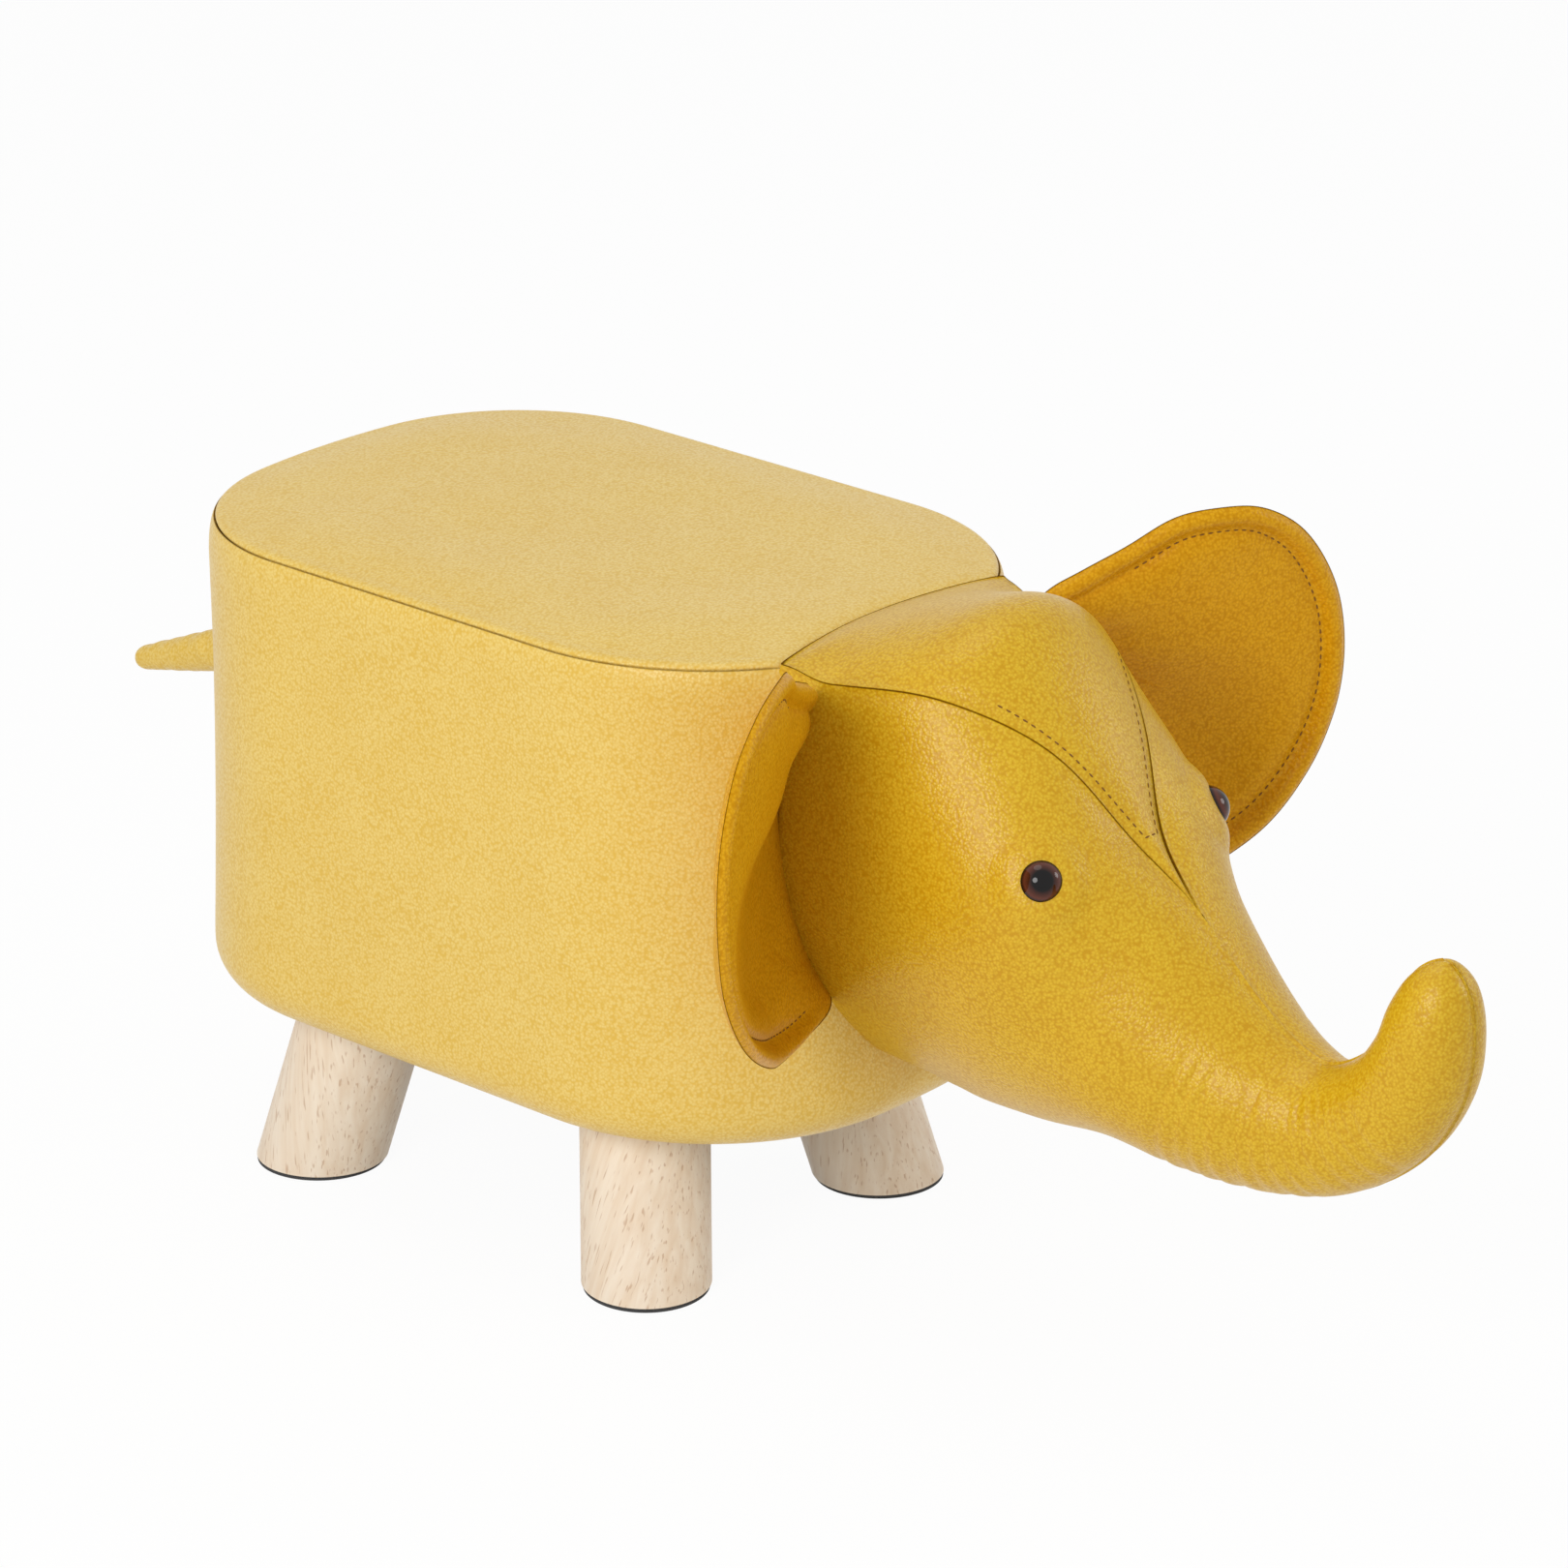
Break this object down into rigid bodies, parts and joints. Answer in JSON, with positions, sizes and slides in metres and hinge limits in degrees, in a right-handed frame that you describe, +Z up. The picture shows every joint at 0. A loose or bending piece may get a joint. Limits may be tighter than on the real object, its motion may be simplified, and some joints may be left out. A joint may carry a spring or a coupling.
{
  "type": "footstool",
  "caption": "Padded animal-shaped footstool with an oval seat, a stuffed elephant head with an upturned trunk, flap ears, a tail and splayed round wooden legs",
  "frame": {"origin": "on the floor, below the middle of the whole length from the tip of the tail to the tip of the trunk", "axes": "X from the tail to the trunk, Y to the animal's left, Z up"},
  "size_m": [0.8164, 0.4222, 0.3504],
  "materials": {
    "yellow_leather": "satin yellow faux leather with a fine pebble grain",
    "foam": "cut upholstery foam",
    "fibre_fill": "loose polyester fibre",
    "dust_cloth": "black non-woven cloth",
    "plywood": "raw plywood and softwood",
    "pale_wood": "pale matt-lacquered hardwood",
    "grey_pad": "dark grey non-slip pad",
    "black_plastic": "glossy moulded black",
    "white_plastic": "moulded white",
    "zinc_steel": "zinc-plated steel"
  },
  "bodies": {
    "stool": {"side_cover": "yellow_leather", "seat_cover": "yellow_leather", "side_foam": "foam", "seat_foam": "foam", "dust_cover": "dust_cloth", "base_board": "plywood", "seat_board": "plywood", "wall_panel": "plywood", "post_screws": "zinc_steel", "leg_bolts": "zinc_steel", "leg_washers": "zinc_steel", "leg_inserts": "zinc_steel", "cover_staples": "zinc_steel", "head_fill": "fibre_fill", "trunk_fill": "fibre_fill", "forehead_panel": "yellow_leather", "cheek_panel_left": "yellow_leather", "cheek_panel_right": "yellow_leather", "eye_left": "black_plastic", "eye_right": "black_plastic", "eye_washer_left": "white_plastic", "eye_washer_right": "white_plastic", "leg_front_left": "pale_wood", "leg_front_right": "pale_wood", "leg_rear_left": "pale_wood", "leg_rear_right": "pale_wood", "foot_pad_front_left": "grey_pad", "foot_pad_front_right": "grey_pad", "foot_pad_rear_left": "grey_pad", "foot_pad_rear_right": "grey_pad", "post_front_left": "plywood", "post_front_right": "plywood", "post_rear_left": "plywood", "post_rear_right": "plywood"},
    "ear_left": {"ear_left_front": "yellow_leather", "ear_left_back": "yellow_leather", "ear_left_pad": "fibre_fill"},
    "ear_right": {"ear_right_front": "yellow_leather", "ear_right_back": "yellow_leather", "ear_right_pad": "fibre_fill"},
    "tail": {"tail_cover": "yellow_leather", "tail_fill": "fibre_fill"}
  },
  "joints": [
    {"name": "ear_left_flap", "type": "hinge", "parent": "stool", "child": "ear_left", "pos_m": [0.08706, 0.08098, 0.23], "axis": [0, 0, 1], "range_deg": [-40, 50], "stiffness_Nm_per_rad": 0.3},
    {"name": "ear_right_flap", "type": "hinge", "parent": "stool", "child": "ear_right", "pos_m": [0.08706, -0.08098, 0.23], "axis": [0, 0, -1], "range_deg": [-40, 50], "stiffness_Nm_per_rad": 0.3},
    {"name": "tail_wag", "type": "hinge", "parent": "stool", "child": "tail", "pos_m": [-0.29192, 0, 0.2166], "axis": [0, 0, 1], "range_deg": [-45, 45], "stiffness_Nm_per_rad": 0.15}
  ]
}
